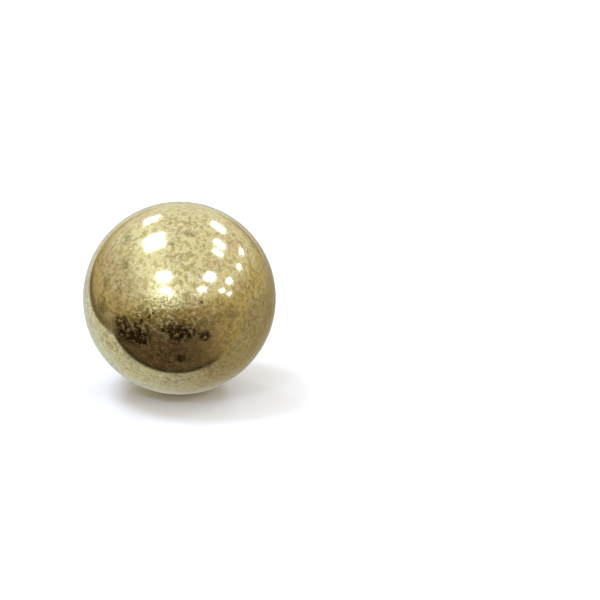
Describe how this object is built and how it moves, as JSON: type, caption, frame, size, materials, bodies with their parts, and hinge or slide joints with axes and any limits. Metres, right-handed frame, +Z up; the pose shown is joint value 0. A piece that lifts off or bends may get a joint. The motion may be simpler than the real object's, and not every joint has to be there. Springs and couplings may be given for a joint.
{
  "type": "ball stud earring",
  "caption": "Ball stud earring in aged brass: a round hollow ball on a straight ear post with a notch, held behind the ear lobe by a butterfly clutch.",
  "frame": {"origin": "on the surface that the earring lies on, under the middle of its whole length", "axes": "+Z up from the surface; +Y along the earring from the face of the ball to the tip of the post, which slopes down to the back; X across"},
  "size_m": [0.014, 0.024, 0.014],
  "materials": {
    "aged_brass": "old polished sheet brass, yellowed and mottled, with brown tarnish specks",
    "post_brass": "drawn and turned brass, softly bright",
    "clutch_brass": "stamped sheet brass, softly bright"
  },
  "bodies": {
    "root": {"ball": "aged_brass", "post": "post_brass", "clutch": "clutch_brass"}
  },
  "joints": []
}
